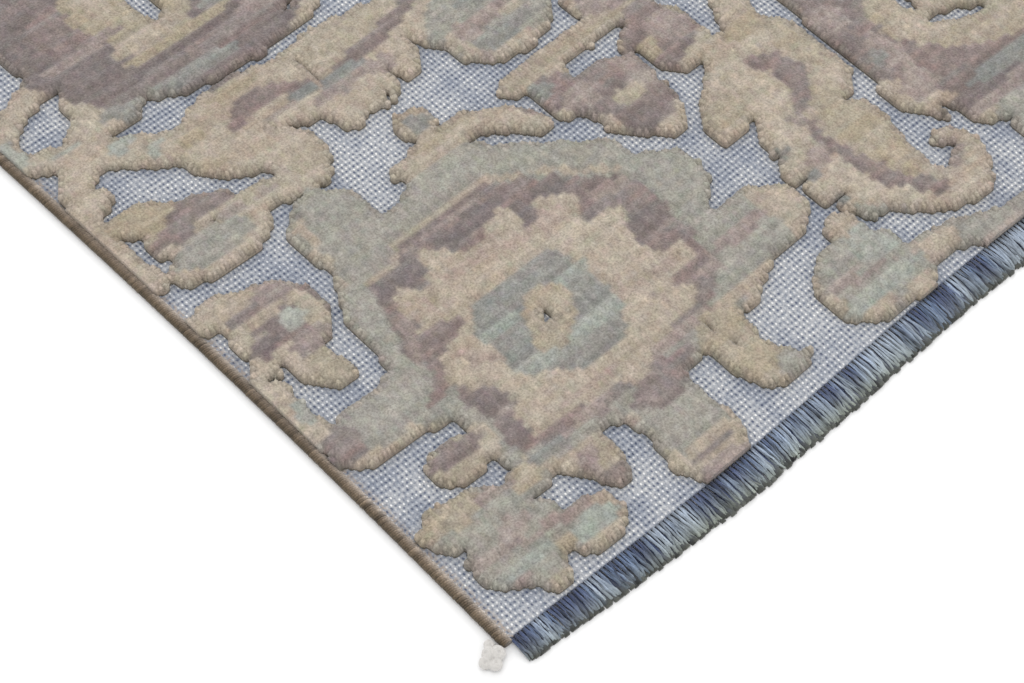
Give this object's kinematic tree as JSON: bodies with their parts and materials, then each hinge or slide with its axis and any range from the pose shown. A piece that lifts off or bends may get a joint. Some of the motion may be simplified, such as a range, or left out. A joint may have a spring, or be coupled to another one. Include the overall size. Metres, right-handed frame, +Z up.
{
  "type": "turkish rug",
  "caption": "Turkish rug lying flat: plain-woven ground in white and denim blue with raised cut-pile flowers, overcast side bindings and a short blue yarn fringe at each end",
  "frame": {"origin": "centre of the rug's box in plan, on the underside that lies on the floor", "axes": "+X across the width, +Y along the length from the corner knot's end to the other, +Z up"},
  "size_m": [1.2224, 1.8516, 0.009],
  "materials": {
    "cloth": "matte",
    "binding_yarn": "matte",
    "fringe_yarn": "matte",
    "knot_thread": "satin"
  },
  "bodies": {
    "root": {"field": "cloth", "binding_left": "binding_yarn", "binding_right": "binding_yarn", "fringe_front": "fringe_yarn", "fringe_back": "fringe_yarn", "corner_knot": "knot_thread"}
  },
  "joints": []
}
